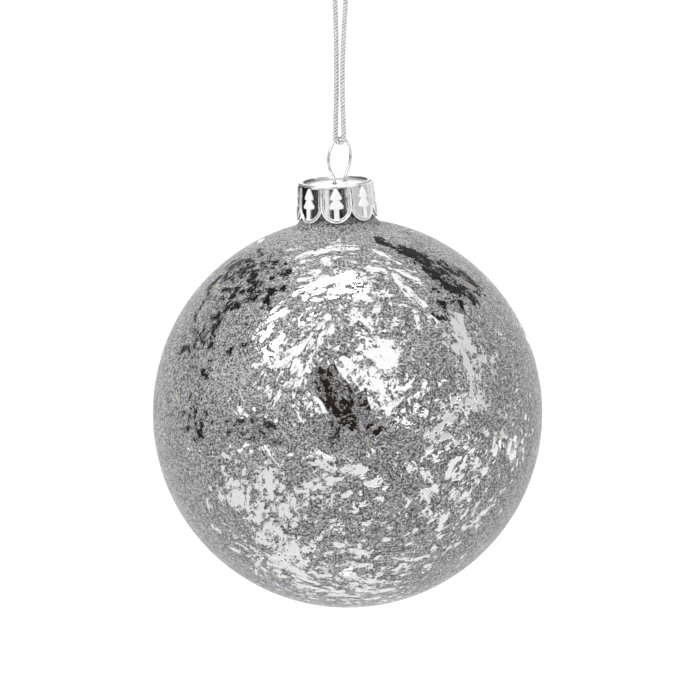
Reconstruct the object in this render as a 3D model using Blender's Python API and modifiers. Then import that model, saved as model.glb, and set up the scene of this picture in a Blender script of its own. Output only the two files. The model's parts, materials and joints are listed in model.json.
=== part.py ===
"""Glass ball ornament: a hollow glass ball, its stamped cap, a wire hanger and a cord loop.

Metres, +Z up. The origin is the hang point, where a hook bears inside the top of the cord loop.
The cord and the hanger hang plumb on the Z axis. The ball and its cap lean a little, about +Y.
"""

import bmesh
import bpy
from math import asin, atan2, cos, hypot, pi, radians, sin, sqrt, tau
from mathutils import Vector

# Driving dimensions.
BALL_RADIUS = 0.040
GLASS_WALL = 0.0009
NECK_RADIUS = 0.0068
SHOULDER_FILLET = 0.004
CAP_ABOVE_BALL = 0.0482  # from the ball's centre to the cap's top, along the neck
LEAN = radians(2.96)

CAP_HEIGHT = 0.0077
CAP_TOP_RADIUS = 0.0075
CAP_BOTTOM_RADIUS = 0.00815
CAP_SHEET = 0.00035
CAP_EDGE = 0.0004
PETALS = 8
PETAL_TIP_RADIUS = 0.00331
STEPS_PER_PETAL = 12

WIRE_RADIUS = 0.00028
RING_RADIUS = 0.0041
RING_TURN = radians(57.5)  # the ring's plane, turned about Z from the X axis
RING_OFF_AXIS = 0.0009  # how far the ring stands beside the middle of the cap
LEG_HOLE_RADIUS = 0.0006

CORD_RADIUS = 0.0005
LOOP_DROP = 0.050  # from the hang point to the top of the hanger's ring
BIGHT_RADIUS = 0.00098
TWIRL_SPLIT = -0.036  # the height at which the cord's two parts meet
KNOT_RADIUS = 0.0017
KNOT_HALF_HEIGHT = 0.0020
KNOT_HEIGHT = 0.0030

GAP = 0.0003
BALL_STEPS = 48
SPHERE_STEPS = 24
INNER_SPHERE_STEPS = 16
FILLET_STEPS = 4
MERGE = 0.00001

# Where the pieces stand.
RING_CENTRE = Vector((0, 0, -(LOOP_DROP + WIRE_RADIUS + RING_RADIUS)))
CAP_CENTRE = RING_CENTRE + Vector((-RING_OFF_AXIS, 0, -(RING_RADIUS + WIRE_RADIUS + GAP)))
ALONG_RING = Vector((cos(RING_TURN), sin(RING_TURN), 0))
ACROSS_RING = Vector((sin(RING_TURN), -cos(RING_TURN), 0))
NECK_TOP = CAP_ABOVE_BALL - CAP_SHEET - GAP

# The wire's legs as (along the ring, below its centre), from where they leave the round.
LEG_OFFSET = 0.0019
LEG_ROUTE = (
    (0.00268, -0.00310),
    (0.00222, -0.00375),
    (0.00194, -0.00440),
    (LEG_OFFSET, -0.00510),
    (LEG_OFFSET, -0.00920),
    (0.00230, -0.01040),
    (0.00390, -0.01380),
    (0.00465, -0.01590),
    (0.00505, -0.01840),
    (0.00515, -0.02190),
)
LEG_LEAVES = atan2(LEG_ROUTE[0][0], -LEG_ROUTE[0][1])

# The cord's two strands as (across the ring, height), from the knot down to the bight.
LEFT_ROUTE = (
    (-0.00060, 0.00070),
    (-0.00163, -0.00017),
    (-0.00230, -0.00180),
    (-0.00200, -0.00650),
    (-0.00170, -0.01200),
    (-0.00140, -0.01700),
    (-0.00113, -0.02160),
    (-0.00095, -0.02600),
    (-0.00083, -0.03100),
    (-0.00077, -0.03560),
    (-0.00076, -0.03900),
    (-0.00082, -0.04300),
    (-0.00092, -0.04700),
    (-0.00098, -0.05028),
)
RIGHT_ROUTE = (
    (0.00060, 0.00070),
    (0.00163, -0.00017),
    (0.00230, -0.00180),
    (0.00215, -0.00650),
    (0.00195, -0.01200),
    (0.00172, -0.01700),
    (0.00150, -0.02160),
    (0.00120, -0.02600),
    (0.00090, -0.03100),
    (0.00072, -0.03560),
    (0.00070, -0.03900),
    (0.00076, -0.04300),
    (0.00090, -0.04700),
    (0.00098, -0.05028),
)
BIGHT_ARC_STEPS = 6
CORD_POINT_STEP = 0.0026
# The cord's cut ends above the knot, each as (across the ring, height).
TAILS = (
    ((-0.00050, 0.0040), (-0.00130, 0.0062), (-0.00240, 0.0080), (-0.00330, 0.0105)),
    ((0.00060, 0.0042), (0.00120, 0.0066), (0.00165, 0.0088), (0.00270, 0.0112)),
)


def clear_scene():
    for item in list(bpy.data.objects):
        bpy.data.objects.remove(item, do_unlink=True)


def new_collection(name):
    collection = bpy.data.collections.new(name)
    bpy.context.scene.collection.children.link(collection)
    return collection


def new_material(name, colour, roughness, metallic):
    material = bpy.data.materials.new(name)
    material.use_nodes = True
    shader = material.node_tree.nodes["Principled BSDF"]
    shader.inputs["Base Color"].default_value = (*colour, 1)
    shader.inputs["Roughness"].default_value = roughness
    shader.inputs["Metallic"].default_value = metallic
    return material


def add_object(name, data, collection, material=None, location=(0, 0, 0), parent=None):
    item = bpy.data.objects.new(name, data)
    collection.objects.link(item)
    item.location = location
    item.parent = parent
    if material:
        data.materials.append(material)
    return item


def mesh_from(bm, name):
    mesh = bpy.data.meshes.new(name)
    bm.to_mesh(mesh)
    bm.free()
    mesh.shade_smooth()
    mesh.set_sharp_from_angle(angle=radians(35))
    return mesh


def arc(centre, radius, start, end, steps):
    """Points (r, z) on an arc whose angles are counted from +Z towards +X."""
    turns = (start + (end - start) * i / steps for i in range(steps + 1))
    return [(centre[0] + radius * sin(a), centre[1] + radius * cos(a)) for a in turns]


def ball_profile():
    """The glass wall's outline, up its inner side, over the lip and down its outer side."""
    fillet_r = NECK_RADIUS + SHOULDER_FILLET
    fillet_z = sqrt((BALL_RADIUS + SHOULDER_FILLET) ** 2 - fillet_r**2)
    fillet = (fillet_r, fillet_z)
    meets = asin(fillet_r / (BALL_RADIUS + SHOULDER_FILLET))
    bore = NECK_RADIUS - GLASS_WALL
    bevel = GLASS_WALL / 6
    inner = BALL_RADIUS - GLASS_WALL
    points = arc((0, 0), inner, pi, meets, INNER_SPHERE_STEPS)
    points += arc(fillet, SHOULDER_FILLET + GLASS_WALL, meets + pi, 1.5 * pi, FILLET_STEPS)[1:]
    points += [(bore, NECK_TOP - bevel), (bore + bevel, NECK_TOP)]
    points += [(NECK_RADIUS - bevel, NECK_TOP), (NECK_RADIUS, NECK_TOP - bevel)]
    points += arc(fillet, SHOULDER_FILLET, 1.5 * pi, meets + pi, FILLET_STEPS)
    points += arc((0, 0), BALL_RADIUS, meets, pi, SPHERE_STEPS)[1:]
    points[0] = (0, -inner)
    points[-1] = (0, -BALL_RADIUS)
    return points


def make_glass_ball(collection, neck_axis):
    bm = bmesh.new()
    row = [bm.verts.new((r, 0, z)) for r, z in ball_profile()]
    for upper, lower in zip(row, row[1:]):
        bm.edges.new((upper, lower))
    mesh = mesh_from(bm, "glass_ball")
    silvered = new_material("silvered glass", (0.42, 0.42, 0.43), 0.30, 0.9)
    place = (0, 0, -CAP_ABOVE_BALL)
    ball = add_object("glass_ball", mesh, collection, silvered, place, neck_axis)
    turn = ball.modifiers.new("turned", "SCREW")
    turn.steps = turn.render_steps = BALL_STEPS
    turn.use_merge_vertices = True
    turn.merge_threshold = MERGE
    turn.use_smooth_shade = True


def petal_rise(turn):
    """How far the skirt's edge stands above the petals' tips at this angle round the cap."""
    share = turn / (tau / PETALS)
    beside = (share - round(share)) * tau / PETALS * CAP_BOTTOM_RADIUS
    return PETAL_TIP_RADIUS - sqrt(PETAL_TIP_RADIUS**2 - beside**2)


def cap_surface():
    """The cap's outer skin: a flared skirt with rounded petals, an eased edge and a flat top."""
    skirt = CAP_HEIGHT - CAP_EDGE
    bm = bmesh.new()
    made = bmesh.ops.create_cone(
        bm,
        cap_ends=False,
        segments=PETALS * STEPS_PER_PETAL,
        radius1=CAP_BOTTOM_RADIUS,
        radius2=CAP_TOP_RADIUS,
        depth=skirt,
    )
    flare = (CAP_BOTTOM_RADIUS - CAP_TOP_RADIUS) / skirt
    for vert in made["verts"]:
        turn = atan2(vert.co.y, vert.co.x)
        rise = petal_rise(turn) if vert.co.z < 0 else 0
        reach = hypot(vert.co.x, vert.co.y) - rise * flare
        height = vert.co.z + rise - CAP_EDGE - skirt / 2
        vert.co = (reach * cos(turn), reach * sin(turn), height)
    rim = [e for e in bm.edges if all(abs(v.co.z + CAP_EDGE) < MERGE for v in e.verts)]
    raised = bmesh.ops.extrude_edge_only(bm, edges=rim)["geom"]
    edges = [item for item in raised if isinstance(item, bmesh.types.BMEdge)]
    narrow = 1 - CAP_EDGE / CAP_TOP_RADIUS
    for vert in (item for item in raised if isinstance(item, bmesh.types.BMVert)):
        vert.co = (vert.co.x * narrow, vert.co.y * narrow, 0)
    bmesh.ops.edgeloop_fill(bm, edges=edges)
    bmesh.ops.recalc_face_normals(bm, faces=bm.faces)
    return mesh_from(bm, "cap")


def make_leg_cutter(cutters, side):
    """A plumb drill for one of the wire's holes through the cap's top."""
    bm = bmesh.new()
    bmesh.ops.create_cone(
        bm,
        cap_ends=True,
        segments=16,
        radius1=LEG_HOLE_RADIUS,
        radius2=LEG_HOLE_RADIUS,
        depth=8 * CAP_SHEET,
    )
    place = RING_CENTRE + side * LEG_OFFSET * ALONG_RING
    place.z = CAP_CENTRE.z - CAP_SHEET / 2
    name = "leg_hole_left" if side < 0 else "leg_hole_right"
    cutter = add_object(name, mesh_from(bm, name), cutters, location=place)
    cutter.hide_render = True
    cutter.display_type = "WIRE"
    return cutter


def make_cap(collection, cutters, neck_axis):
    tin = new_material("bright tin plate", (0.80, 0.80, 0.81), 0.12, 1.0)
    cap = add_object("cap", cap_surface(), collection, tin, parent=neck_axis)
    sheet = cap.modifiers.new("sheet", "SOLIDIFY")
    sheet.thickness = CAP_SHEET
    sheet.offset = -1
    sheet.use_even_offset = True
    for side in (-1, 1):
        hole = cap.modifiers.new("leg hole", "BOOLEAN")
        hole.object = make_leg_cutter(cutters, side)
        hole.operation = "DIFFERENCE"
        hole.solver = "EXACT"


def make_tube(name, points, radius, collection, material, location=(0, 0, 0)):
    """A wire or cord through these points, which are measured from its location."""
    curve = bpy.data.curves.new(name, "CURVE")
    curve.dimensions = "3D"
    curve.bevel_depth = radius
    curve.bevel_resolution = 2
    curve.use_fill_caps = True
    spline = curve.splines.new("POLY")
    spline.points.add(len(points) - 1)
    for target, point in zip(spline.points, points):
        target.co = (*point, 1)
    spline.use_smooth = True
    return add_object(name, curve, collection, material, location)


def smooth_route(route, step):
    """Points a step apart along a smooth curve through the route's points (Catmull-Rom)."""
    ends = [route[0] * 2 - route[1], *route, route[-1] * 2 - route[-2]]
    points = []
    for a, b, c, d in zip(ends, ends[1:], ends[2:], ends[3:]):
        count = max(1, round((c - b).length / step))
        for t in (i / count for i in range(count)):
            bend = a * -1 + b * 3 - c * 3 + d
            points.append((b * 2 + (c - a) * t + (a * 2 - b * 5 + c * 4 - d) * t**2 + bend * t**3) / 2)
    return points + [route[-1]]


def make_hanger_wire(collection):
    """A round ring whose two ends go down through the cap and spread inside the neck."""
    steel = new_material("bright wire", (0.78, 0.78, 0.80), 0.18, 1.0)
    legs = {
        side: smooth_route([ALONG_RING * s * side + Vector((0, 0, z)) for s, z in LEG_ROUTE], 0.0012)
        for side in (-1, 1)
    }
    steps = 30
    span = pi - LEG_LEAVES
    turns = [span * (2 * i / steps - 1) for i in range(1, steps)]
    ring = [(ALONG_RING * sin(a) + Vector((0, 0, cos(a)))) * RING_RADIUS for a in turns]
    points = list(reversed(legs[-1])) + ring + legs[1]
    make_tube("hanger_wire", points, WIRE_RADIUS, collection, steel, RING_CENTRE)


def strand(route):
    return [ACROSS_RING * across + Vector((0, 0, height)) for across, height in route]


def split_strand(route):
    """A strand's smooth points above the split and below it, with a gap between them."""
    points = smooth_route(strand(route), CORD_POINT_STEP)
    upper = [p for p in points if p.z > TWIRL_SPLIT + CORD_RADIUS]
    lower = [p for p in points if p.z < TWIRL_SPLIT - CORD_RADIUS]
    share = (upper[-1].z - TWIRL_SPLIT) / (upper[-1].z - lower[0].z)
    across = upper[-1].lerp(lower[0], share)
    above, below = Vector((0, 0, GAP / 2)), Vector((0, 0, -GAP / 2))
    return upper + [across + above], [across + below] + lower


def make_cord_loop(collection, thread):
    """The two strands from the knot, which stay with it, and the bight that the ring hangs in."""
    left_upper, left_lower = split_strand(LEFT_ROUTE)
    right_upper, right_lower = split_strand(RIGHT_ROUTE)
    wire_top = RING_CENTRE.z + RING_RADIUS
    turns = [-pi / 2 - pi * i / BIGHT_ARC_STEPS for i in range(1, BIGHT_ARC_STEPS)]
    round_wire = [
        ACROSS_RING * BIGHT_RADIUS * sin(a) + Vector((0, 0, wire_top + BIGHT_RADIUS * cos(a)))
        for a in turns
    ]
    bight = left_lower + round_wire + list(reversed(right_lower))
    make_tube("cord_left_strand", left_upper, CORD_RADIUS, collection, thread)
    make_tube("cord_right_strand", right_upper, CORD_RADIUS, collection, thread)
    make_tube("cord_bight", bight, CORD_RADIUS, collection, thread)


def mesh_of_tube(tube, collection):
    """The tube as a closed mesh object, so that a Boolean can join it. The curve is removed."""
    bpy.context.view_layer.update()
    evaluated = tube.evaluated_get(bpy.context.evaluated_depsgraph_get())
    mesh = bpy.data.meshes.new_from_object(evaluated)
    bm = bmesh.new()
    bm.from_mesh(mesh)
    bmesh.ops.remove_doubles(bm, verts=bm.verts, dist=MERGE)
    bmesh.ops.recalc_face_normals(bm, faces=bm.faces)
    bm.to_mesh(mesh)
    bm.free()
    item = add_object(tube.name + "_mesh", mesh, collection)
    item.matrix_world = tube.matrix_world
    bpy.data.objects.remove(tube, do_unlink=True)
    item.hide_render = True
    item.display_type = "WIRE"
    return item


def make_cord_knot(collection, cutters, thread):
    """The knot that joins the cord's ends above the hook, with its two cut ends."""
    bm = bmesh.new()
    bmesh.ops.create_uvsphere(bm, u_segments=20, v_segments=12, radius=KNOT_RADIUS)
    for vert in bm.verts:
        vert.co.z *= KNOT_HALF_HEIGHT / KNOT_RADIUS
    knot = add_object("cord_knot", mesh_from(bm, "cord_knot"), collection, thread)
    knot.location = (0, 0, KNOT_HEIGHT)
    for number, route in enumerate(TAILS, 1):
        points = smooth_route(strand(route), CORD_POINT_STEP)
        tail = make_tube(f"cord_tail_{number}", points, CORD_RADIUS, cutters, thread)
        joined = knot.modifiers.new("tail", "BOOLEAN")
        joined.object = mesh_of_tube(tail, cutters)
        joined.operation = "UNION"
        joined.solver = "EXACT"


def make_neck_axis(collection):
    """An empty at the middle of the cap's top, leaning as the ball and its cap do."""
    axis = add_object("neck_axis", None, collection, location=CAP_CENTRE)
    axis.rotation_euler = (0, -LEAN, 0)
    axis.empty_display_size = CAP_HEIGHT
    return axis


def main():
    clear_scene()
    ornament = new_collection("glass_ball_ornament")
    cutters = new_collection("cutters")
    neck_axis = make_neck_axis(ornament)
    make_glass_ball(ornament, neck_axis)
    make_cap(ornament, cutters, neck_axis)
    make_hanger_wire(ornament)
    thread = new_material("metallic thread", (0.62, 0.62, 0.63), 0.45, 0.6)
    make_cord_loop(ornament, thread)
    make_cord_knot(ornament, cutters, thread)


main()
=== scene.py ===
"""Glass ball ornament: a silvered glass ball with a worn frosted coat, its stamped tin cap,
a sprung wire hanger and a loop of twisted metallic cord.

Metres, +Z up. The hang point is at zero and -Y is the front.
"""

import json
from math import asin, atan2, cos, pi, radians, sin, sqrt, tau

import bmesh
import bpy
import numpy as np
from mathutils import Matrix, Vector


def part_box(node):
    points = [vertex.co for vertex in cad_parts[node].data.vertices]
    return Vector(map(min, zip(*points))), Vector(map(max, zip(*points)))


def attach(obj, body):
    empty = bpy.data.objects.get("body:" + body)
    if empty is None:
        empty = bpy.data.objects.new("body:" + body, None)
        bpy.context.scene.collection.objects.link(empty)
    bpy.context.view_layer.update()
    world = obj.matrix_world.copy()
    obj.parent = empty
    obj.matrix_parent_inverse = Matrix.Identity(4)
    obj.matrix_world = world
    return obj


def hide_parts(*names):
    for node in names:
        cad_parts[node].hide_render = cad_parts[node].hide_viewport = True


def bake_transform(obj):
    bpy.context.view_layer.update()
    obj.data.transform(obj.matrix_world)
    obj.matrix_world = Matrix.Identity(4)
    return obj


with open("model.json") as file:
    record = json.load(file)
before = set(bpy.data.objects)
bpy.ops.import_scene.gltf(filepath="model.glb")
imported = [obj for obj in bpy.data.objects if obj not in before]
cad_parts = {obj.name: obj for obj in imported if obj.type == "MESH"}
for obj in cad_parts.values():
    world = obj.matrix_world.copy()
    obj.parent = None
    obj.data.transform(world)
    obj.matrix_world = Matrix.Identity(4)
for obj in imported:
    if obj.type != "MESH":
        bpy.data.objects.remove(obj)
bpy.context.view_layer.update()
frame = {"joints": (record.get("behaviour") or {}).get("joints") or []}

# ---------------------------------------------------------------- where the pieces stand

JOINTS = {joint["name"]: joint for joint in frame["joints"]}
UP_NECK = -Vector(JOINTS["cap_pull"]["axis"]).normalized()
RING_CENTRE = Vector(JOINTS["swing"]["pos_m"])
ACROSS_RING = Vector(JOINTS["swing"]["axis"]).normalized()
ALONG_RING = Vector((-ACROSS_RING.y, ACROSS_RING.x, 0))

ball_low, ball_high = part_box("glass_ball")
BALL_RADIUS = (ball_high.y - ball_low.y) / 2
BALL_CENTRE = Vector(((ball_low.x + ball_high.x) / 2, 0, ball_low.z + BALL_RADIUS))
CAP_TOP_HEIGHT = 0.0482  # above the ball's centre, along the neck
CAP_TOP = BALL_CENTRE + UP_NECK * CAP_TOP_HEIGHT

GLASS_WALL = 0.0009
NECK_RADIUS = 0.0068
SHOULDER_FILLET = 0.004
NECK_TOP = 0.04755
MOUTH_ANGLE = 13.4  # from the neck's axis to the hole in the round, hidden by the shoulder

CAP_HEIGHT = 0.0077
CAP_TOP_RADIUS = 0.0075
CAP_BOTTOM_RADIUS = 0.00815
CAP_SHEET = 0.00035
CAP_EDGE_ROUND = 0.00045
# The pressed top as (out from the middle, height), up to where its edge rounds over.
CAP_CROWN = (
    (0.00005, -0.00030),
    (0.0016, -0.00032),
    (0.0030, -0.00038),
    (0.0042, -0.00046),
    (0.0052, -0.00050),
    (0.0059, -0.00050),
    (0.00612, -0.00046),
    (0.00630, -0.00036),
    (0.00645, -0.00020),
    (0.00660, -0.00006),
    (0.00680, 0.0),
)
GROOVE_RADIUS = 0.0060  # where painted shade darkens the groove on the top
GROOVE_WIDTH = 0.0008
# painted highlight on the cap's top: how much lighter, less metallic and rougher it is made, standing in
# for the bright surroundings it reflects
TOP_PAINTED_LIGHT = 0.35
PETALS = 8
PETAL_TIP_RADIUS = 0.00331
LEG_HOLE_RADIUS = 0.0006

WIRE_RADIUS = 0.00028
RING_RADIUS = 0.0041
LEG_OFFSET = 0.0019
# The wire's legs as (along the ring, below its centre), from where they leave the round.
LEG_ROUTE = (
    (0.00268, -0.00310),
    (0.00222, -0.00375),
    (0.00194, -0.00440),
    (LEG_OFFSET, -0.00510),
    (LEG_OFFSET, -0.00920),
    (0.00230, -0.01040),
    (0.00390, -0.01380),
    (0.00465, -0.01590),
    (0.00505, -0.01840),
    (0.00515, -0.02190),
)

CORD_RADIUS = 0.0005
CORD_LEAD = 0.0021  # one turn of its three plies
BIGHT_RADIUS = 0.00098
# The strands as (across the ring, height), from the knot down to the bight.
LEFT_ROUTE = (
    (-0.00060, 0.00070),
    (-0.00163, -0.00017),
    (-0.00230, -0.00180),
    (-0.00200, -0.00650),
    (-0.00170, -0.01200),
    (-0.00140, -0.01700),
    (-0.00113, -0.02160),
    (-0.00095, -0.02600),
    (-0.00083, -0.03100),
    (-0.00077, -0.03560),
    (-0.00076, -0.03900),
    (-0.00082, -0.04300),
    (-0.00092, -0.04700),
    (-0.00098, -0.05028),
)
RIGHT_ROUTE = (
    (0.00060, 0.00070),
    (0.00163, -0.00017),
    (0.00230, -0.00180),
    (0.00215, -0.00650),
    (0.00195, -0.01200),
    (0.00172, -0.01700),
    (0.00150, -0.02160),
    (0.00120, -0.02600),
    (0.00090, -0.03100),
    (0.00072, -0.03560),
    (0.00070, -0.03900),
    (0.00076, -0.04300),
    (0.00090, -0.04700),
    (0.00098, -0.05028),
)
# The cut ends above the knot, in the same way.
LEFT_TAIL = ((-0.00050, 0.0044), (-0.00130, 0.0062), (-0.00240, 0.0080), (-0.00330, 0.0105))
RIGHT_TAIL = ((0.00100, 0.0050), (0.00135, 0.0068), (0.00165, 0.0088), (0.00270, 0.0112))
KNOT_WRAP_RADIUS = 0.00108
KNOT_WRAPS = 3
KNOT_FOOT = 0.0015
KNOT_HEAD = 0.0042

# ---------------------------------------------------------------- the coat's wear

# Places where the coat has come off, on the front, in degrees: turn round the neck from the front,
# height above the widest round, long, wide and lie of the brushing above the level. The last
# number is how bare: from about 1 it is bare right through, and below that it is broken up.
WORN_PLACES = (
    (-8, 64, 16, 5, 22, 0.85),
    (-6, 54, 15, 6, 13, 0.95),
    (-3, 48, 12, 4, 11, 0.8),
    (1, 69, 9, 2, 7, 0.75),
    (8, 48, 9, 6, -20, 0.8),
    (7, 40, 11, 6, -37, 0.85),
    (22, 46, 4, 4, 24, 0.9),
    (20, 54, 7, 3, -23, 0.9),
    (28, 61, 10, 1.5, -60, 0.9),
    (35, 51, 11, 2.2, -43, 0.95),
    (30, 46, 12, 2.5, -70, 0.85),
    (26, 35, 4, 1.2, 85, 0.8),
    (12, 27, 8, 7, -45, 1.4),
    (10, 18, 11, 7, -70, 1.2),
    (17, 19, 6, 4, 9, 0.75),
    (12, 13, 5, 4, 44, 1),
    (14, 7, 5, 1.3, 44, 0.95),
    (-11, 36, 7, 3, 23, 0.75),
    (-22, 27, 7, 5, -60, 0.85),
    (-28, 24, 5, 2.5, -5, 0.7),
    (-15, 29, 12, 2.5, 62, 0.85),
    (-19, 18, 10, 2, 55, 0.95),
    (-23, 9, 6, 3, 65, 0.8),
    (-24, 7, 5, 3, -29, 0.75),
    (-23, -2, 8, 2, -60, 0.85),
    (-9, 32, 7, 1.5, 69, 0.8),
    (-14, 18, 6, 1.4, 80, 0.85),
    (-34, -13, 9, 7, 60, 1.1),
    (-29, -17, 9, 6, 70, 1),
    (-24, -9, 9, 5, 80, 0.95),
    (-24, -5, 7, 2.5, 10, 0.7),
    (-19, -18, 10, 6, 75, 0.95),
    (-26, -26, 12, 7, 60, 0.95),
    (-21, -32, 10, 6, 80, 0.95),
    (-13, -15, 5, 2.5, 60, 0.75),
    (-14, -12, 6, 2, 5, 0.95),
    (-6, -8, 4, 3, 0, 0.95),
    (1, -5, 10, 4, 3, 0.95),
    (6, -9, 5, 3, 15, 0.75),
    (-5, -15, 3, 2, 50, 0.95),
    (-11, -10, 3, 2, -69, 0.9),
    (2, -16, 4, 1.6, 15, 0.9),
    (9, -14, 3, 2, -60, 0.95),
    (23, -11, 7, 2.5, -41, 0.85),
    (23, -15, 4, 2.5, -70, 0.85),
    (25, -20, 4, 3, -41, 0.85),
    (17, -17, 6, 1, 70, 0.95),
    (18, -6, 3, 2, -62, 0.95),
    (33, -11, 4, 2.5, 21, 0.85),
    (31, -15, 4, 1.5, 40, 0.9),
    (32, -17, 5, 2, 64, 0.9),
    (31, -7, 8, 1.6, 58, 0.85),
    (42, -28, 6, 2.5, 23, 0.85),
    (48, -23, 8, 2.5, 37, 0.85),
    (55, -8, 6, 2.5, -70, 0.9),
    (40, 9, 6, 4, -59, 0.9),
    (34, 8, 7, 3, -20, 0.8),
    (41, 19, 15, 2.2, 80, 1.05),
    (44, 11, 7, 3, -84, 0.95),
    (44, 30, 13, 5, -62, 1.05),
    (47, 35, 10, 3.5, 80, 1),
    (38, 28, 7, 3, -58, 0.9),
    (4, -32, 7, 4, -45, 0.85),
    (3, -37, 7, 3, -10, 0.8),
    (-3, -31, 6, 2, -10, 0.9),
    (21, -38, 12, 1.2, -14, 0.95),
    (17, -41, 6, 2.5, 45, 0.95),
    (15, -47, 20, 1.3, -5, 0.9),
    (-16, -51, 15, 3, -25, 0.9),
    (1, -58, 18, 2.5, -12, 0.9),
    (10, -53, 10, 2, -5, 0.85),
    (3, -47, 13, 1.8, -40, 0.8),
    (-3, 5, 5, 3, 29, 0.9),
    (-6, -2, 12, 5, -20, 0.7),
    (-36, -2, 6, 3, -15, 0.65),
    (-44, -12, 8, 1.4, 88, 0.8),
    (-47, -19, 9, 1.4, 75, 0.8),
    (-38, -40, 14, 1.4, 60, 0.8),
    (-26, -40, 12, 3, -40, 0.9),
    (-18, -46, 10, 3, -30, 0.9),
    (-30, -36, 10, 2, -50, 0.9),
    (-12, -43, 8, 4, -20, 0.9),
    (-20, -38, 7, 4, 70, 0.9),
    (-5, 22, 8, 5, -70, 1),
    (-2, 15, 10, 6, -60, 1.05),
    (-9, 15, 6, 4, 30, 0.8),
    (2, 11, 7, 5, -10, 1.05),
    (-59, 62, 5, 2, -17, 0.8),
    (-70, 60, 4, 1.5, 20, 0.8),
    (-41, 61, 5, 1.6, 20, 0.9),
    (-41, 56, 3, 1.5, 79, 0.85),
    (-32, 59, 3, 1.6, 59, 0.85),
    (-26, 50, 3, 2.2, 48, 0.95),
    (-30, 48, 4, 1.4, 20, 0.8),
    (-44, 43, 4, 3, 6, 0.9),
    (-35, 49, 4, 2, -33, 0.75),
    (-26, 34, 3.5, 2.6, 70, 0.85),
    (-49, 35, 9, 2, 80, 0.95),
    (-50, 29, 5, 2, 86, 0.9),
    (-52, 40, 8, 4, 75, 0.75),
    (-52, 21, 3, 1.4, -80, 0.9),
    (-71, 54, 6, 1.6, 51, 0.85),
    (-66, 52, 6, 1.6, 40, 0.85),
    (-60, 34, 5, 1.6, 70, 0.8),
    (-78, 6, 8, 1.2, 85, 0.8),
    (40, 66, 8, 3, -70, 1.25),
    (46, 60, 10, 5.5, -60, 1.35),
    (49, 53, 11, 6.5, -72, 1.3),
    (52, 45, 12, 7, -67, 1.25),
    (57, 39, 7, 5.5, -61, 1.2),
    (62, 51, 9, 4, -72, 1.2),
    (66, 45, 11, 4.5, -78, 1.15),
    (58, 47, 12, 5, -66, 1.08),
    (35, 37, 4, 3, -40, 1.2),
    (41, 39, 3.5, 2.6, -54, 1.1),
    (82, 69, 8, 1.2, -30, 0.85),
)
# Places where small flecks are gone: turn, height, how far they spread, how many, their lie
# and the longest of them, with angles and sizes in degrees.
FLECKED_PLACES = (
    (-47, 50, 19, 150, 30, 4),
    (-55, 30, 12, 80, 75, 3.4),
    (-62, 50, 10, 30, 40, 6),
    (-4, 20, 16, 120, -60, 3),
    (-12, 30, 9, 40, 50, 2.4),
    (-47, 8, 9, 70, 60, 2.4),
    (-25, 35, 10, 55, 30, 2.4),
    (-20, 22, 9, 50, 60, 2.4),
    (-28, 6, 9, 100, -20, 2.4),
    (-30, -10, 10, 80, 75, 2.4),
    (-22, -28, 12, 130, 65, 2.4),
    (-10, -12, 9, 60, 20, 2.4),
    (5, 55, 14, 110, 5, 2.4),
    (14, 40, 12, 100, -35, 2.4),
    (2, 20, 9, 150, 40, 2.4),
    (14, 14, 9, 100, 60, 2.4),
    (28, 5, 10, 130, 20, 2.4),
    (38, -12, 12, 90, 50, 3.2),
    (30, -30, 14, 80, 30, 3),
    (44, 22, 9, 110, -70, 2.4),
    (40, 40, 8, 60, -55, 2.4),
    (-24, -43, 14, 130, -35, 3),
    (2, -25, 12, 50, 0, 2.4),
    (5, -45, 12, 130, -10, 2.4),
    (-15, -50, 16, 150, -30, 2.4),
    (10, -60, 20, 130, 0, 2.8),
    (-40, -33, 8, 70, -50, 2.6),
    (55, -5, 12, 70, -70, 2.4),
)
# Brass-yellow flecks, each as turn, height, long, wide and lie, in degrees.
BRASS_FLECKS = (
    (-29, 71, 2, 1, 20),
    (-64, 63, 3, 1.2, 10),
    (-66, 47, 2.2, 1.4, 60),
    (-56, 30, 2.4, 2, 30),
    (-60, 14, 1.6, 1.2, 0),
    (-48, 15, 1.4, 1, 40),
    (48, -2, 3.6, 1.1, 12),
    (47, 25, 1.6, 1.2, 40),
    (-42, -24, 3, 1.1, -55),
    (-34, -26, 3, 1.1, -60),
    (-32, -44, 4, 1.1, -35),
    (-3, -44, 2.4, 1.2, -30),
    (53, -24, 3, 0.8, 40),
    (26, -28, 2, 0.8, 20),
    (8, 3, 1.6, 1, 45),
    (-8, 33, 1.6, 1.2, 0),
)

# ---------------------------------------------------------------- shader sums


class Number:
    """A socket that carries one number, so that a shader's sums are written as Python's."""

    def __init__(self, finish, socket):
        self.finish = finish
        self.socket = socket

    def sum(self, operation, first, second=0.0, clamp=False):
        settings = {"operation": operation, "use_clamp": clamp}
        made = self.finish.node("ShaderNodeMath", settings, {0: first, 1: second})
        return Number(self.finish, made.outputs[0])

    def __add__(self, other):
        return self.sum("ADD", self, other)

    def __radd__(self, other):
        return self.sum("ADD", other, self)

    def __sub__(self, other):
        return self.sum("SUBTRACT", self, other)

    def __rsub__(self, other):
        return self.sum("SUBTRACT", other, self)

    def __mul__(self, other):
        return self.sum("MULTIPLY", self, other)

    def within(self):
        """The number, kept from 0 to 1."""
        return self.sum("ADD", self, 0.0, clamp=True)

    def above(self, edge, softness):
        """0 below this edge and 1 above it, over a width of softness."""
        return ((self - edge) * (1 / softness) + 0.5).within()


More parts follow.
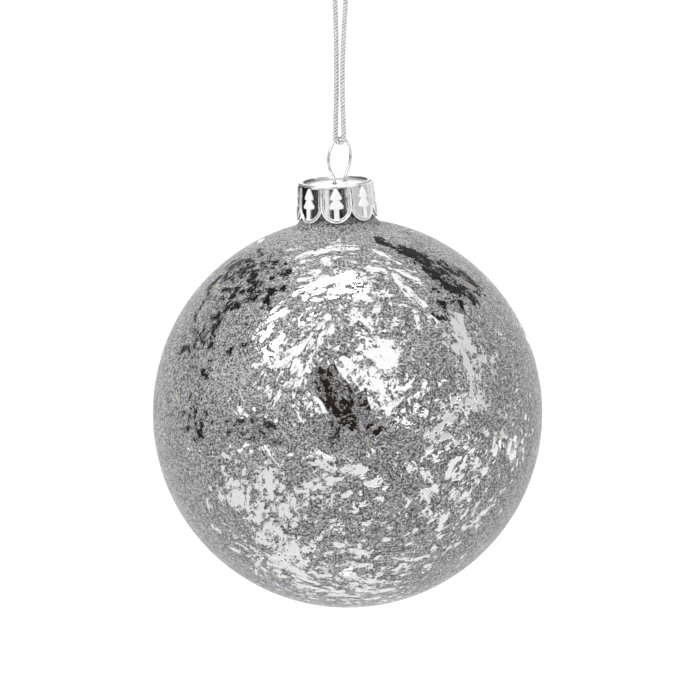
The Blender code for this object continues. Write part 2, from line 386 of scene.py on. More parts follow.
class Finish:
    """One material on a Principled shader, and the nodes that drive it."""

    def __init__(self, name, **constants):
        self.material = bpy.data.materials.new(name)
        self.material.use_nodes = True
        self.tree = self.material.node_tree
        self.shader = self.tree.nodes["Principled BSDF"]
        for socket, value in constants.items():
            self.set(socket.replace("_", " ").title(), value)

    def put(self, socket, value):
        if isinstance(value, Number):
            value = value.socket
        if isinstance(value, bpy.types.NodeSocket):
            self.tree.links.new(value, socket)
        elif socket.type == "RGBA":
            socket.default_value = (*value, 1)
        else:
            socket.default_value = value

    def set(self, socket, value):
        if socket == "Specular Level":
            socket = "Specular IOR Level"
        self.put(self.shader.inputs[socket], value)

    def node(self, kind, settings, sockets):
        made = self.tree.nodes.new(kind)
        for name, value in settings.items():
            setattr(made, name, value)
        for key, value in sockets.items():
            self.put(made.inputs[key], value)
        return made

    def place(self):
        """Where a point is on its own piece."""
        return self.node("ShaderNodeTexCoord", {}, {}).outputs["Object"]

    def stored(self, name):
        made = self.node("ShaderNodeAttribute", {"attribute_name": name}, {})
        return Number(self, made.outputs["Fac"])

    def stored_direction(self, name):
        return self.node("ShaderNodeAttribute", {"attribute_name": name}, {}).outputs["Vector"]

    def noise(self, place, grain, detail=2.0, roughness=0.5):
        """Noise whose grains are about this size, in metres."""
        sockets = {"Vector": place, "Scale": 1 / grain, "Detail": detail, "Roughness": roughness}
        return Number(self, self.node("ShaderNodeTexNoise", {}, sockets).outputs["Fac"])

    def cells(self, place, size):
        """One random number for each cell of about this size."""
        made = self.node("ShaderNodeTexVoronoi", {}, {"Vector": place, "Scale": 1 / size})
        split = self.node("ShaderNodeSeparateColor", {}, {0: made.outputs["Color"]})
        return Number(self, split.outputs[0])

    def vector(self, operation, first, second):
        made = self.node("ShaderNodeVectorMath", {"operation": operation}, {0: first, 1: second})
        return made.outputs["Value" if operation == "DOT_PRODUCT" else "Vector"]

    def scaled(self, vector, amount):
        made = self.node("ShaderNodeVectorMath", {"operation": "SCALE"}, {0: vector, 3: amount})
        return made.outputs["Vector"]

    def colour(self, share, first, second):
        """The first colour where share is 0 and the second where it is 1."""
        sockets = {0: share, 6: first, 7: second}
        return self.node("ShaderNodeMix", {"data_type": "RGBA"}, sockets).outputs[2]

    def bump(self, height, depth):
        """Raises the surface by height times this depth in metres."""
        sockets = {"Height": height, "Distance": depth, "Strength": 1.0}
        self.set("Normal", self.node("ShaderNodeBump", {}, sockets).outputs["Normal"])


# ---------------------------------------------------------------- finishes


def worn_frosted_silver():
    """Mirror glass under a grainy grey coat, which is gone where 'bare' is high."""
    finish = Finish("worn frosted silver", sheen_weight=0.35, sheen_roughness=0.35)
    place = finish.place()
    brushed = finish.stored_direction("brushed")
    along = Number(finish, finish.vector("DOT_PRODUCT", place, brushed))
    drawn = finish.vector("SUBTRACT", place, finish.scaled(brushed, along * 0.78))
    lumps = finish.noise(drawn, 0.0022, detail=2) - 0.5
    ragged = finish.noise(drawn, 0.0008, detail=5, roughness=0.72) - 0.5
    combed = finish.noise(drawn, 0.0004, detail=3, roughness=0.75) - 0.5
    shards = finish.cells(drawn, 0.0010) - 0.5
    speckle = finish.noise(place, 0.00030, detail=2, roughness=0.7) - 0.5
    wear = finish.stored("bare") + lumps + ragged * 2.4 + shards * 0.8 + combed * 0.9
    bare = (wear + speckle).above(0.68, 0.07)
    grain = finish.cells(place, 0.00026)
    mottle = finish.noise(place, 0.0005, detail=2, roughness=0.8) - 0.5
    cloud = finish.noise(place, 0.006, detail=3)
    pits = finish.noise(place, 0.00045, detail=2, roughness=0.6)
    pitted = (pits + finish.stored("bare") * 0.15).above(0.64, 0.06)
    tone = grain * 1.2 + speckle * 3.0 + mottle * 1.5 + cloud * 0.4 - 0.37
    tone = (tone * (1 - pitted * 0.85)).within()
    coat = finish.colour(tone, (0.022, 0.022, 0.024), (0.43, 0.425, 0.43))
    brass = (finish.stored("brass") + speckle * 1.4).above(0.6, 0.2)
    coat = finish.colour(brass, coat, (0.36, 0.33, 0.17))
    finish.set("Base Color", finish.colour(bare, coat, (0.85, 0.85, 0.86)))
    finish.set("Metallic", bare)
    finish.set("Roughness", 0.62 - bare * 0.58)
    finish.bump((1 - bare) * (0.5 + grain * 0.5), 0.00008)
    return finish.material


def bright_tin():
    """Bright stamped tin plate, a little smeared, with painted highlight on its embossed lines and top,
    and painted shade in the groove round the top.
    """
    finish = Finish("bright stamped tin", metallic=1.0)
    place = finish.place()
    # painted highlight: the embossed lines and the top are made lighter, less metallic and rougher,
    # standing in for the white they reflect
    painted_highlight = finish.stored("painted_highlight")
    smear = finish.noise(place, 0.0022, detail=3)
    scuff = finish.noise(place, 0.0004, detail=3, roughness=0.6)
    tarnish = (smear * 0.8 + scuff * 0.4 - 0.35).within()
    plate = finish.colour(tarnish, (0.78, 0.78, 0.79), (0.60, 0.60, 0.62))
    # painted shade: a dark ring in the groove round the top, broken up by the smear
    cap_groove_shade = (finish.stored("cap_groove_shade") + (smear - 0.5) * 2).above(0.45, 0.4)
    plate = finish.colour(cap_groove_shade, plate, (0.10, 0.10, 0.105))
    finish.set("Base Color", finish.colour(painted_highlight, plate, (0.88, 0.88, 0.89)))
    finish.set("Metallic", 1 - painted_highlight * 0.72)
    finish.set("Roughness", 0.09 + tarnish * 0.12 + painted_highlight * 0.3)
    finish.bump(smear * 0.7 + scuff * 0.3, 0.00002)
    return finish.material


def bright_wire():
    """Drawn wire with faint lengthwise marks."""
    finish = Finish("bright drawn wire", metallic=1.0)
    place = finish.place()
    marks = finish.noise(place, 0.0005, detail=3)
    finish.set("Base Color", finish.colour(marks, (0.56, 0.56, 0.57), (0.80, 0.80, 0.81)))
    finish.set("Roughness", 0.22 + marks * 0.14)
    finish.bump(marks, 0.000015)
    return finish.material


def metallic_thread():
    """Silver thread, with painted shade down in the grooves between its plies."""
    finish = Finish("twisted metallic thread")
    place = finish.place()
    ply_groove_shade = finish.stored("ply_groove_shade")
    fibre = finish.noise(place, 0.00018, detail=2)
    # painted shade: dark down where the plies meet, standing in for the shade in the grooves
    dark = (ply_groove_shade + (fibre - 0.5) * 2.2).above(0.66, 0.3)
    silver = finish.colour(fibre, (0.50, 0.50, 0.51), (0.98, 0.98, 0.99))
    finish.set("Base Color", finish.colour(dark, silver, (0.10, 0.10, 0.105)))
    finish.set("Metallic", 0.55 - dark * 0.3)
    finish.set("Roughness", 0.34 + fibre * 0.2)
    finish.bump(fibre, 0.00003)
    return finish.material


def plain_card(name, colour):
    return Finish(name, base_color=colour, roughness=1.0, specular_level=0.0).material


# ---------------------------------------------------------------- mesh work


def add_piece(name, vertices, faces, material, body=None, matrix=None):
    mesh = bpy.data.meshes.new(name)
    mesh.from_pydata([tuple(v) for v in vertices], [], faces)
    mesh.materials.append(material)
    mesh.shade_smooth()
    piece = bpy.data.objects.new(name, mesh)
    bpy.context.scene.collection.objects.link(piece)
    if matrix:
        piece.matrix_world = matrix
    if body:
        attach(piece, body)
    return piece


def store(piece, name, values):
    """Keeps one number, or one direction, for each of the piece's points."""
    values = np.asarray(values, np.float32)
    kind, field = ("FLOAT", "value") if values.ndim == 1 else ("FLOAT_VECTOR", "vector")
    stored = piece.data.attributes.new(name, kind, "POINT")
    stored.data.foreach_set(field, values.ravel())


def grid_faces(rows, columns, first=0, closed=True, flip=False):
    """Quads between rows of points; closed rows go all the way round."""
    faces = []
    for i in range(rows - 1):
        for j in range(columns if closed else columns - 1):
            k = (j + 1) % columns
            face = (i * columns + j, i * columns + k, (i + 1) * columns + k, (i + 1) * columns + j)
            faces.append(tuple(first + v for v in (reversed(face) if flip else face)))
    return faces


def smooth_route(route, step):
    """Points a step apart along a smooth curve through the route's points, which may be unevenly
    spaced (a centripetal Catmull-Rom curve)."""
    ends = [route[0] * 2 - route[1], *route, route[-1] * 2 - route[-2]]
    points = []
    for a, b, c, d in zip(ends, ends[1:], ends[2:], ends[3:]):
        at_b = sqrt((b - a).length)
        at_c = at_b + sqrt((c - b).length)
        at_d = at_c + sqrt((d - c).length)
        count = max(1, round((c - b).length / step))
        for t in (at_b + (at_c - at_b) * i / count for i in range(count)):
            ab = a + (b - a) * (t / at_b)
            bc = b + (c - b) * ((t - at_b) / (at_c - at_b))
            cd = c + (d - c) * ((t - at_c) / (at_d - at_c))
            abc = ab + (bc - ab) * (t / at_c)
            bcd = bc + (cd - bc) * ((t - at_b) / (at_d - at_b))
            points.append(abc + (bcd - abc) * ((t - at_b) / (at_c - at_b)))
    return points + [route[-1]]


def even_path(points, step):
    """The same line with its points a step apart, as an array."""
    points = np.array([tuple(p) for p in points])
    lengths = np.linalg.norm(np.diff(points, axis=0), axis=1)
    reach = np.concatenate(([0], np.cumsum(lengths)))
    count = max(2, round(reach[-1] / step))
    marks = np.linspace(0, reach[-1], count + 1)
    return np.stack([np.interp(marks, reach, points[:, i]) for i in range(3)], axis=1), marks


def sweep(path, radii):
    """A closed tube of points round the path. radii has one row for each point of the path."""
    ahead = np.gradient(path, axis=0)
    ahead /= np.linalg.norm(ahead, axis=1)[:, None]
    side = np.cross(ahead[0], (0.3, 0.5, 0.1))
    side /= np.linalg.norm(side)
    sides = []
    for direction in ahead:
        side = side - direction * (side @ direction)
        side /= np.linalg.norm(side)
        sides.append(side)
    sides = np.array(sides)
    ups = np.cross(ahead, sides)
    columns = radii.shape[1]
    turns = np.arange(columns) * tau / columns
    rings = (
        path[:, None, :]
        + sides[:, None, :] * (np.cos(turns) * radii)[:, :, None]
        + ups[:, None, :] * (np.sin(turns) * radii)[:, :, None]
    )
    points = np.concatenate([rings.reshape(-1, 3), path[:1], path[-1:]])
    faces = grid_faces(len(path), columns)
    last = len(path) * columns
    for j in range(columns):
        k = (j + 1) % columns
        faces.append((last, k, j))
        faces.append((last + 1, last - columns + j, last - columns + k))
    return points, faces


def rounded_ends(count, step, radius):
    """How much of its full radius a tube keeps near its two ends."""
    reach = np.arange(count) * step
    near = np.minimum(reach, reach[::-1]) / radius
    return np.sqrt(np.clip(1 - (1 - np.clip(near, 0.02, 1)) ** 2, 0, 1))


# ---------------------------------------------------------------- camera and studio


def place_camera():
    """A long lens a little above the ball, looking down at it by 10.5 degrees."""
    rise = radians(10.5)
    look_at = BALL_CENTRE + Vector((0.0005, 0, 0.0131))
    back = Vector((0, -cos(rise), sin(rise)))
    data = bpy.data.cameras.new("camera")
    data.lens = 200
    data.sensor_width = 36
    data.clip_start = 0.05
    camera = bpy.data.objects.new("camera", data)
    bpy.context.scene.collection.objects.link(camera)
    camera.location = look_at + back * 0.797
    camera.rotation_euler = (-back).to_track_quat("-Z", "Y").to_euler()
    bpy.context.scene.camera = camera


def hang_card(name, colour, columns, distance=1.5):
    """A studio card that only reflections and soft light see, round the ball.

    columns are (turn from the front, lowest height, highest height), in degrees.
    """
    points = []
    for turn, low, high in columns:
        for height in (low, (low + high) / 2, high):
            a, h = radians(turn), radians(height)
            out = Vector((sin(a) * cos(h), -cos(a) * cos(h), sin(h)))
            points.append(BALL_CENTRE + out * distance)
    faces = grid_faces(len(columns), 3, closed=False)
    card = add_piece(name, points, faces, plain_card(name, colour))
    card.visible_camera = False
    card.visible_diffuse = False
    card.visible_shadow = False


def build_studio():
    scene = bpy.context.scene
    scene.view_settings.view_transform = "Standard"
    world = bpy.data.worlds.new("soft white room")
    world.use_nodes = True
    world.node_tree.nodes["Background"].inputs["Color"].default_value = (1, 1, 1, 1)
    world.node_tree.nodes["Background"].inputs["Strength"].default_value = 1.15
    scene.world = world
    far, below = 12, -0.45
    corners = [(-far, -far, below), (far, -far, below), (far, far, below), (-far, far, below)]
    floor = add_piece("floor", corners, [(0, 1, 2, 3)], plain_card("pale floor", (0.9, 0.9, 0.9)))
    light = bpy.data.lights.new("overhead softbox", "AREA")
    light.shape = "RECTANGLE"
    light.size = 0.5
    light.size_y = 1.6
    light.energy = 14
    softbox = bpy.data.objects.new("overhead softbox", light)
    softbox.location = (-0.5, -0.2, 1.1)
    softbox.rotation_euler = (BALL_CENTRE - softbox.location).to_track_quat("-Z", "Y").to_euler()
    scene.collection.objects.link(softbox)
    black = (0.012, 0.012, 0.013)
    left = (
        (-68, 42, 48),
        (-79, 30, 58),
        (-81, -14, 60),
        (-105, -14, 64),
        (-135, -14, 60),
        (-150, -14, 46),
        (-166, -14, 30),
    )
    right = (
        (88, 46, 52),
        (96, 41, 53),
        (104, 44, 54),
        (112, 34, 54),
        (119, 36, 54),
        (126, 25, 54),
        (140, 15, 53),
        (150, 12, 52),
        (172, 10, 46),
    )
    hang_card("dark card on the left", black, left)
    hang_card("dark card on the right", black, right)
    tan = ((137, 29, 33), (140, 25, 35), (143, 23, 30))
    under = tuple((turn, -86, -13) for turn in range(-180, 181, 30))
    hang_card("grey cloth under the ball", (0.62, 0.62, 0.61), under, 0.335)
    hang_card("tan strip", (0.27, 0.235, 0.21), tan, 1.4)
    front = (
        (-80, -9, 7),
        (-64, -9, 2),
        (-52, -9, 6),
        (-42, -9, 3),
        (-34, -9, -4),
        (-26, -9, -2),
        (-18, -9, 4),
        (-8, -9, 8),
        (4, -9, 9),
        (14, -9, 4),
        (24, -9, 8),
        (34, -9, 2),
        (42, -8, 2),
    )
    hang_card("dark room behind the camera", (0.03, 0.028, 0.027), front, 1.55)
    over = (
        (-26, 26, 31),
        (-21, 22, 38),
        (-15, 17, 36),
        (-10, 9, 41),
        (-5, 3, 33),
        (0, -6, 29),
        (5, -9, 22),
        (10, -7, 24),
        (14, -9, 13),
        (19, -4, 2),
    )
    hang_card("dark card over the camera", (0.02, 0.014, 0.01), over)
    wall = (
        (44, -12, 5),
        (60, -12, 12),
        (70, -12, 30),
        (88, -12, 47),
        (104, -12, 43),
        (118, -12, 30),
    )
    hang_card("grey wall on the right", (0.56, 0.565, 0.57), wall, 1.6)


# ---------------------------------------------------------------- the cord


def on_strand(across, height, along=0.0):
    return ACROSS_RING * across + ALONG_RING * along + Vector((0, 0, height))


def cord_route():
    """The whole cord: tail, knot, one strand, the bight round the ring, the other strand,
    three wraps of the knot and its tail."""
    left = [on_strand(*p) for p in LEFT_ROUTE]
    right = [on_strand(*p) for p in RIGHT_ROUTE]
    wire_top = RING_CENTRE.z + RING_RADIUS
    turns = [-pi / 2 - pi * i / 10 for i in range(1, 10)]
    bight = [on_strand(BIGHT_RADIUS * sin(a), wire_top + BIGHT_RADIUS * cos(a)) for a in turns]
    steps = 14 * KNOT_WRAPS
    wraps = []
    for i in range(-2, steps + 1):
        share = i / steps
        turn = tau * KNOT_WRAPS * share
        height = KNOT_FOOT + (KNOT_HEAD - KNOT_FOOT) * share
        across = KNOT_WRAP_RADIUS * cos(turn)
        wraps.append(on_strand(across - 0.00015, height, KNOT_WRAP_RADIUS * sin(turn)))
    up_knot = [on_strand(-0.00022, 0.0018), on_strand(-0.00025, 0.0031)]
    left_tail = [on_strand(*p) for p in LEFT_TAIL]
    right_tail = [on_strand(*p) for p in RIGHT_TAIL]
    top_down = list(reversed(left_tail)) + list(reversed(up_knot)) + left
    return top_down + bight + list(reversed(right)) + wraps + right_tail


def make_cord():
    step = 0.00009
    path, reach = even_path(smooth_route(cord_route(), 0.0002), step)
    sides = 36
    turns = np.arange(sides) * tau / sides
    ply = np.abs(np.cos(1.5 * (turns[None, :] - tau * reach[:, None] / CORD_LEAD)))
    fibre = np.cos(21 * turns[None, :] + tau * reach[:, None] / 0.0006)
    radii = CORD_RADIUS * (0.74 + 0.26 * ply**0.7 + 0.025 * fibre)
    radii *= rounded_ends(len(path), reach[1], CORD_RADIUS * 1.2)[:, None]
    points, faces = sweep(path, radii)
    cord = add_piece("cord_loop", points, faces, metallic_thread())
    # where the plies meet, for the painted shade
    store(cord, "ply_groove_shade", np.concatenate([(1 - ply).ravel(), (1, 1)]))
    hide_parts("cord_left_strand", "cord_right_strand", "cord_bight", "cord_knot")
    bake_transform(cord)


# ---------------------------------------------------------------- the wire hanger


def make_hanger_wire():
    """The sprung wire: a round ring whose two legs go down through the cap into the neck."""
    legs = {
        side: smooth_route([ALONG_RING * s * side + Vector((0, 0, z)) for s, z in LEG_ROUTE], 0.0003)
        for side in (-1, 1)
    }
    span = pi - atan2(LEG_ROUTE[0][0], -LEG_ROUTE[0][1])
    steps = 120
    turns = [span * (2 * i / steps - 1) for i in range(1, steps)]
    ring = [(ALONG_RING * sin(a) + Vector((0, 0, cos(a)))) * RING_RADIUS for a in turns]
    route = [p + RING_CENTRE for p in list(reversed(legs[-1])) + ring + legs[1]]
    path, reach = even_path(route, 0.00016)
    kept = rounded_ends(len(path), reach[1], WIRE_RADIUS)
    points, faces = sweep(path, WIRE_RADIUS * kept[:, None] * np.ones((1, 20)))
    wire = add_piece("sprung_wire", points, faces, bright_wire(), "hanger")
    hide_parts("hanger_wire")


# ---------------------------------------------------------------- the cap


def neck_matrix(origin):
    """Stands a piece on the neck's axis, with its own -Y to the front."""
    across = Vector((0, -1, 0)).cross(UP_NECK) * -1
    across.normalize()
    back = UP_NECK.cross(across)
    turned = Matrix((across, back, UP_NECK)).transposed().to_4x4()
    return Matrix.Translation(origin) @ turned


def tree_edge(height):
    """Half the stamped tree's width at a height below the cap's top, in millimetres."""
    heights = (-7.2, -7.05, -4.85, -4.70, -4.40, -3.05, -2.85, -2.55, -1.30, -0.85, -0.75)
    widths = (0.0, 0.58, 0.56, 1.35, 1.48, 0.62, 1.12, 1.16, 0.55, 0.30, 0.0)
    return np.interp(height, heights, widths)


def stamped_relief(beside, height):
    """How far the cap's skin stands out, in mm, and the painted highlight, which is 1 on its embossed
    lines.

    beside is mm from a petal's middle and height mm above the cap's top.
    """
    tip = PETAL_TIP_RADIUS * 1000
    round_centre = -CAP_HEIGHT * 1000 + tip
    inside = np.where(
        height < round_centre,
        tip - np.hypot(beside, height - round_centre),
        3.2 - np.abs(beside),
    )
    outer_bead = np.sqrt(np.clip(1 - ((inside - 0.19) / 0.17) ** 2, 0, 1))
    inner_bead = np.sqrt(np.clip(1 - ((inside - 0.66) / 0.15) ** 2, 0, 1))
    bead = np.maximum(outer_bead, inner_bead * 0.8)
    tree = np.clip(tree_edge(height) - np.abs(beside), 0, 0.32) / 0.32
    tree = np.sqrt(np.clip(tree * (2 - tree), 0, 1))
    tree *= np.clip((height + 7.2) / 0.2, 0, 1)
    relief = bead * 0.15 + tree * 0.30 - 0.04
    painted_highlight = np.clip(np.maximum(bead * 1.4 - 0.4, tree * 1.8 - 0.5), 0, 1)
    fade = np.clip((-height - 0.45) / 0.35, 0, 1)
    return relief * fade, painted_highlight * fade


def make_cap():
    columns, rows = PETALS * 76, 96
    turns = np.arange(columns) * tau / columns - pi / 2
    share = (turns + pi / 2) / (tau / PETALS)
    beside_angle = (share - np.round(share)) * tau / PETALS
    beside = beside_angle * CAP_BOTTOM_RADIUS
    rise = PETAL_TIP_RADIUS - np.sqrt(PETAL_TIP_RADIUS**2 - beside**2)
    bottom = -CAP_HEIGHT + rise
    edge = CAP_EDGE_ROUND
    down = np.linspace(0, 1, rows)[:, None]
    heights = -edge + (bottom[None, :] + edge) * down
    flare = (CAP_BOTTOM_RADIUS - CAP_TOP_RADIUS) / CAP_HEIGHT
    radii = CAP_TOP_RADIUS - heights * flare
    relief, painted_highlight = stamped_relief(beside_angle[None, :] * radii * 1000, heights * 1000)
    skin = radii + relief / 1000
    rounding = [
        (CAP_TOP_RADIUS - edge * (1 - sin(a)) + 0.00004, -edge + edge * cos(a))
        for a in [pi / 2 * i / 7 for i in range(1, 8)]
    ]
    crown = list(CAP_CROWN) + rounding
    top = [(np.full(columns, r), np.full(columns, z)) for r, z in crown]
    inner_rows = 20
    up = np.linspace(1, 0, inner_rows)[:, None]
    inner_heights = -edge + (bottom[None, :] + edge) * up
    inner_relief, _ = stamped_relief(beside_angle[None, :] * radii[0] * 1000, inner_heights * 1000)
    inner = CAP_TOP_RADIUS - inner_heights * flare - CAP_SHEET + np.minimum(inner_relief, 0.05) / 1000
    lining = [(np.full(columns, CAP_TOP_RADIUS - 0.0008), np.full(columns, -edge - 0.0002))]
    lining += [(np.full(columns, r), np.full(columns, -0.00062)) for r in (0.0060, 0.0035, 0.00005)]
    rings = top + list(zip(skin, heights)) + list(zip(inner, inner_heights)) + lining
    # painted shade in the groove round the top
    cap_groove_shade = [np.full(columns, np.exp(-(((r - GROOVE_RADIUS) / GROOVE_WIDTH) ** 2))) for r, _ in crown]
    cap_groove_shade += [np.zeros(columns)] * (rows + inner_rows + len(lining))
    # painted highlight: part strength on the top, full strength on the embossed lines
    marks = [np.full(columns, TOP_PAINTED_LIGHT)] * len(top) + list(painted_highlight)
    marks += [np.zeros(columns)] * (inner_rows + len(lining))
    points = [
        np.stack([r * np.cos(turns), r * np.sin(turns), np.broadcast_to(z, r.shape)], axis=1)
        for r, z in rings
    ]
    faces = grid_faces(len(rings), columns, flip=True)
    matrix = neck_matrix(CAP_TOP)
    cap = add_piece("stamped_cap", np.concatenate(points), faces, bright_tin(), matrix=matrix)
    store(cap, "painted_highlight", np.concatenate(marks))
    store(cap, "cap_groove_shade", np.concatenate(cap_groove_shade))
    bore_leg_holes(cap)
    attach(cap, "ball_cap")
    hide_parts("cap")


def bore_leg_holes(cap):
    """Two plumb holes through the cap's top for the wire's legs."""
    for side in (-1, 1):
        bm = bmesh.new()
        bmesh.ops.create_cone(
            bm,
            cap_ends=True,
            segments=28,
            radius1=LEG_HOLE_RADIUS,
            radius2=LEG_HOLE_RADIUS,
            depth=0.003,
        )
        mesh = bpy.data.meshes.new("leg drill")
        bm.to_mesh(mesh)
        bm.free()
        drill = bpy.data.objects.new("leg drill", mesh)
        bpy.context.scene.collection.objects.link(drill)
        place = RING_CENTRE + ALONG_RING * LEG_OFFSET * side
        drill.location = (place.x, place.y, CAP_TOP.z - 0.0003)
        bore = cap.modifiers.new("leg hole", "BOOLEAN")
        bore.object = drill
        bore.solver = "EXACT"
        bpy.context.view_layer.update()
        bored = bpy.data.meshes.new_from_object(cap.evaluated_get(bpy.context.evaluated_depsgraph_get()))
        cap.modifiers.clear()
        cap.data = bored
        bpy.data.objects.remove(drill)
    cap.data.shade_smooth()
    cap.data.set_sharp_from_angle(angle=radians(50))


# ---------------------------------------------------------------- the glass ball


def ball_direction(turn, height):
    """Out from the ball's centre, in its own axes; angles are in degrees."""
    a, h = radians(turn), radians(height)
    return np.array((cos(h) * sin(a), -cos(h) * cos(a), sin(h)))


def ruffled(directions, rng):
    """The directions moved about by small waves, so that no stroke has a clean outline."""
    moved = directions.copy()
    for _ in range(40):
        wave = rng.normal(0, 1, 3)
        wave *= rng.uniform(14, 60) / np.linalg.norm(wave)
        swell = np.sin(directions @ wave + rng.uniform(0, tau)) * 0.1 / np.linalg.norm(wave)
        moved += swell[:, None] * rng.normal(0, 1, 3)
    return moved / np.linalg.norm(moved, axis=1)[:, None]


class Wear:
    """How bare the coat is at each point of the ball, and which way it was brushed off."""

    def __init__(self, directions):
        self.out = directions
        self.bare = np.zeros(len(directions))
        self.brushed = np.zeros((len(directions), 3))
        self.brass = np.zeros(len(directions))

    def stroke(self, turn, height, long, wide, lie, bare, brushed=True, brass=False):
        """One stroke of this size in degrees, its bareness fading out at its edge."""
        centre = ball_direction(turn, height)
        east = np.array((cos(radians(turn)), sin(radians(turn)), 0))
        north = np.cross(centre, east)
        along = east * cos(radians(lie)) + north * sin(radians(lie))
        across = np.cross(centre, along)
        near = np.flatnonzero(self.out @ centre > cos(radians(long / 2 + wide * 1.2 + 1)))
        if not len(near):
            return
        reach = np.abs(self.out[near] @ along) - radians(max(long - wide, 0) / 2)
        aside = self.out[near] @ across
        half = radians(wide / 2)
        distance = np.hypot(np.clip(reach, 0, None), aside) / half
        value = bare * np.clip(1.35 - 0.72 * distance, 0, 1)
        if brass:
            self.brass[near] = np.maximum(self.brass[near], value)
            return
        higher = value > self.bare[near]
        self.bare[near] = np.maximum(self.bare[near], value)
        if brushed:
            self.brushed[near[higher]] = along * min(1, 0.45 + 0.13 * long / wide)

    def fleck(self, rng, turn, height, lie, small, large):
        long = small + (large - small) * rng.random() ** 2.5
        wide = max(0.5, long * rng.uniform(0.3, 0.85))
        bare = rng.uniform(0.7, 1.3)
        self.stroke(turn, height, long, wide, lie + rng.normal(0, 28), bare, brushed=False)


def wear_the_coat(directions):
    rng = np.random.default_rng(8)
    wear = Wear(ruffled(directions, rng))
    for turn, height, long, wide, lie, bare in WORN_PLACES:
        wear.stroke(turn, height, long, wide, lie, bare)
        for _ in range(int(2 + long * wide / 8)):
            reach = rng.normal(0, long * 0.42)
            aside = rng.normal(0, wide * 0.5)
            east = reach * cos(radians(lie)) - aside * sin(radians(lie))
            north = reach * sin(radians(lie)) + aside * cos(radians(lie))
            stretched = east / max(0.25, cos(radians(height)))
            wear.fleck(rng, turn + stretched, height + north, lie, 0.6, 3)
    for turn, height, spread, count, lie, largest in FLECKED_PLACES:
        wear.stroke(turn, height, spread * 1.7, spread * 1.4, lie, min(0.3, 0.001 * count + 0.12))
        for _ in range(count):
            north, east = rng.normal(0, spread * 0.55, 2)
            stretched = east / max(0.25, cos(radians(height + north)))
            wear.fleck(rng, turn + stretched, min(height + north, 71), lie, 0.5, largest)
    round_the_back(wear, rng)
    for turn, height, long, wide, lie in BRASS_FLECKS:
        wear.stroke(turn, height, long * 0.8, wide * 0.6, lie, 1, brass=True)
    for _ in range(26):
        place = rng.uniform(70, 290), np.degrees(asin(rng.uniform(-0.9, 0.9)))
        wear.stroke(*place, rng.uniform(1.2, 3), 1.1, rng.uniform(-90, 90), 1, brass=True)
    return wear


def round_the_back(wear, rng):
    """The same wear on the rest of the ball: groups of strokes that lie one way, and flecks."""
    for _ in range(46):
        turn = rng.uniform(94, 266)
        height = np.degrees(asin(rng.uniform(-0.93, 0.9)))
        lie = rng.uniform(-90, 90)
        spread = rng.uniform(7, 14)
        wear.stroke(turn, height, spread * 1.7, spread * 1.4, lie, rng.uniform(0.1, 0.3))
        for _ in range(rng.integers(1, 6)):
            place = turn + rng.normal(0, spread * 0.5), min(height + rng.normal(0, spread * 0.4), 68)
            long = rng.uniform(4, 16)
            wide = rng.uniform(0.15, 0.55) * long
            wear.stroke(*place, long, wide, lie + rng.normal(0, 20), rng.uniform(0.7, 1.05))
        for _ in range(70):
            north, east = rng.normal(0, spread * 0.55, 2)
            stretched = east / max(0.25, cos(radians(height + north)))
            wear.fleck(rng, turn + stretched, min(height + north, 71), lie, 0.5, 3)
    for _ in range(500):
        turn = rng.uniform(80, 280)
        height = min(np.degrees(asin(rng.uniform(-0.98, 0.94))), 70)
        wear.fleck(rng, turn, height, rng.uniform(-90, 90), 0.4, 1.8)


def ball_skin(cells):
    """The outer round as six evenly divided sides, open where the neck leaves it."""
    marks = np.tan(np.linspace(-pi / 4, pi / 4, cells + 1))
    u, v = np.meshgrid(marks, marks, indexing="ij")
    one = np.ones_like(u)
    sides = ((u, v, one), (v, u, -one), (one, u, v), (-one, v, u), (v, one, u), (u, -one, v))
    points, faces = [], []
    for number, side in enumerate(sides):
        side = np.stack(side, axis=-1).reshape(-1, 3)
        points.append(side / np.linalg.norm(side, axis=1)[:, None])
        faces += grid_faces(cells + 1, cells + 1, number * (cells + 1) ** 2, closed=False)
    points = np.concatenate(points)
    open_above = cos(radians(MOUTH_ANGLE))
    kept = [f for f in faces if points[f[0], 2] < open_above]
    return points, kept


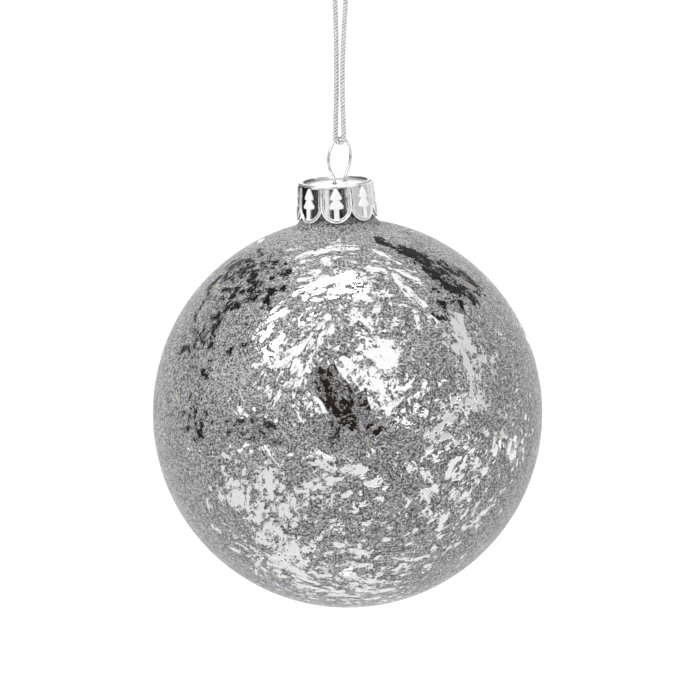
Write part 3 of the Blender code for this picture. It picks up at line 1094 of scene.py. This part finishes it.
def neck_profile():
    """(r, z) from the shoulder up the neck, over its lip and down inside the ball."""
    fillet_r = NECK_RADIUS + SHOULDER_FILLET
    fillet_z = sqrt((BALL_RADIUS + SHOULDER_FILLET) ** 2 - fillet_r**2)
    meets = asin(fillet_r / (BALL_RADIUS + SHOULDER_FILLET))
    turns = np.linspace(meets + pi, 1.5 * pi, 14)
    outer = [(fillet_r + SHOULDER_FILLET * sin(a), fillet_z + SHOULDER_FILLET * cos(a)) for a in turns]
    lip = GLASS_WALL / 2
    lip_turns = np.linspace(0, pi, 9)
    middle = NECK_RADIUS - lip
    lips = [(middle + lip * cos(a), NECK_TOP - lip + lip * sin(a)) for a in lip_turns]
    bore = NECK_RADIUS - GLASS_WALL
    inner = BALL_RADIUS - GLASS_WALL
    inside = [(bore, fillet_z)]
    inside += [(inner * sin(a), inner * cos(a)) for a in np.linspace(meets, pi - 0.01, 36)]
    return outer + lips + inside


def make_glass_ball():
    cells = 120
    skin, faces = ball_skin(cells)
    columns = 112
    turns = np.arange(columns) * tau / columns
    profile = neck_profile()
    rings = [
        np.stack([r * np.cos(turns), r * np.sin(turns), np.full(columns, z)], axis=1)
        for r, z in profile
    ]
    neck = np.concatenate(rings)
    neck_faces = grid_faces(len(profile), columns, len(skin))
    points = np.concatenate([skin * BALL_RADIUS, neck])
    wear = wear_the_coat(skin)
    none = np.zeros(len(neck))
    matrix = neck_matrix(BALL_CENTRE)
    ball = add_piece("silvered_ball", points, faces + neck_faces, worn_frosted_silver(), matrix=matrix)
    store(ball, "bare", np.concatenate([wear.bare, none]))
    store(ball, "brass", np.concatenate([wear.brass, none]))
    store(ball, "brushed", np.concatenate([wear.brushed, np.zeros((len(neck), 3))]))
    bm = bmesh.new()
    bm.from_mesh(ball.data)
    bmesh.ops.remove_doubles(bm, verts=bm.verts, dist=0.000004)
    bmesh.ops.delete(bm, geom=[v for v in bm.verts if not v.link_faces], context="VERTS")
    bmesh.ops.recalc_face_normals(bm, faces=bm.faces)
    bm.to_mesh(ball.data)
    bm.free()
    ball.data.shade_smooth()
    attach(ball, "ball")
    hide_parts("glass_ball")


place_camera()
build_studio()
make_cord()
make_hanger_wire()
make_cap()
make_glass_ball()
